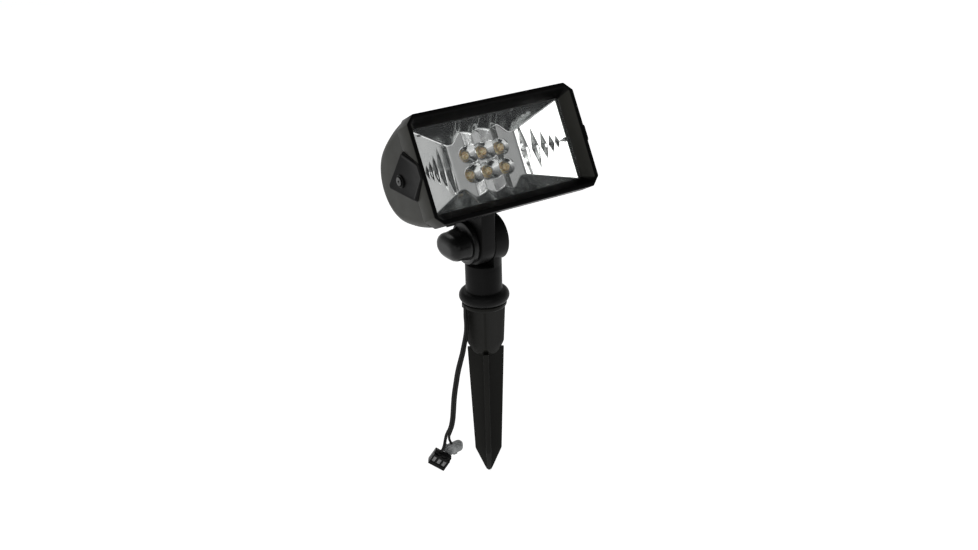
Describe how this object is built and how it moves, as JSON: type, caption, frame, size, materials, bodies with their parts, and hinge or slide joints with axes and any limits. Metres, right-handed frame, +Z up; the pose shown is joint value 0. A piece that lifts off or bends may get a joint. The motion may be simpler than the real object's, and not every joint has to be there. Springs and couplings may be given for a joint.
{
  "type": "light projector stake",
  "caption": "Outdoor floodlight on a ground spike: a rectangular mirrored lamp head on a tilting knuckle with a clamp knob, a flanged stem and a low-voltage cord with a cable tap.",
  "frame": {"origin": "centre of the flange's underside on the stem's axis, which is at ground level when the spike is pushed in", "axes": "+Z up the stem, X along the tilt axis with the clamp knob on -X, and the light faces -Y"},
  "size_m": [0.159, 0.0903, 0.3413],
  "materials": {
    "housing_plastic": "black moulded plastic, satin, fine mould grain",
    "frame_plastic": "black moulded plastic, satin",
    "knuckle_plastic": "black moulded plastic, satin",
    "knob_plastic": "black moulded plastic, satin",
    "spike_plastic": "charcoal moulded plastic with a soft sheen",
    "lens_clear": "clear, polished",
    "mirror_coating": "vacuum-metallised mirror on moulded plastic",
    "board_white": "white solder mask",
    "base_white": "white ceramic-filled package",
    "phosphor": "warm yellow phosphor under clear silicone",
    "screw_steel": "zinc-plated",
    "spreader_alu": "plain extruded",
    "brass": "turned",
    "board_green": "green solder mask",
    "parts_dark": "moulded component bodies",
    "gasket_rubber": "soft black rubber",
    "cord_vinyl": "black vinyl, satin",
    "tap_black": "black moulded plastic",
    "tap_clear": "translucent grey moulded plastic"
  },
  "bodies": {
    "stake": {"stem": "knuckle_plastic", "spike": "spike_plastic", "knuckle_bolt": "screw_steel", "friction_washer": "gasket_rubber", "stem_cable": "cord_vinyl", "cord_grip": "gasket_rubber", "cord": "cord_vinyl", "lead_dark": "cord_vinyl", "lead_clear": "cord_vinyl", "tap_body": "tap_black", "tap_cap": "tap_clear", "tap_contacts": "brass"},
    "head": {"housing": "housing_plastic", "bezel": "frame_plastic", "bezel_screws": "screw_steel", "lens": "lens_clear", "lens_gasket": "gasket_rubber", "reflector": "mirror_coating", "led_board": "board_white", "led_bases": "base_white", "led_domes": "phosphor", "board_screws": "screw_steel", "heat_spreader": "spreader_alu", "spreader_screws": "screw_steel", "standoffs": "brass", "driver_board": "board_green", "driver_parts": "parts_dark", "upper_knuckle": "knuckle_plastic", "saddle_gasket": "gasket_rubber", "saddle_screws": "screw_steel", "head_leads": "cord_vinyl"},
    "knob": {"knob": "knob_plastic", "knob_nut": "brass", "knob_washer": "screw_steel"}
  },
  "joints": [
    {"name": "head_tilt", "type": "hinge", "parent": "stake", "child": "head", "pos_m": [0, 0, 0.055], "axis": [-1, 0, 0], "range_deg": [-58, 61]},
    {"name": "knob_turn", "type": "hinge", "parent": "stake", "child": "knob", "pos_m": [0, 0, 0.055], "axis": [-1, 0, 0], "range_deg": [0, 360]}
  ]
}
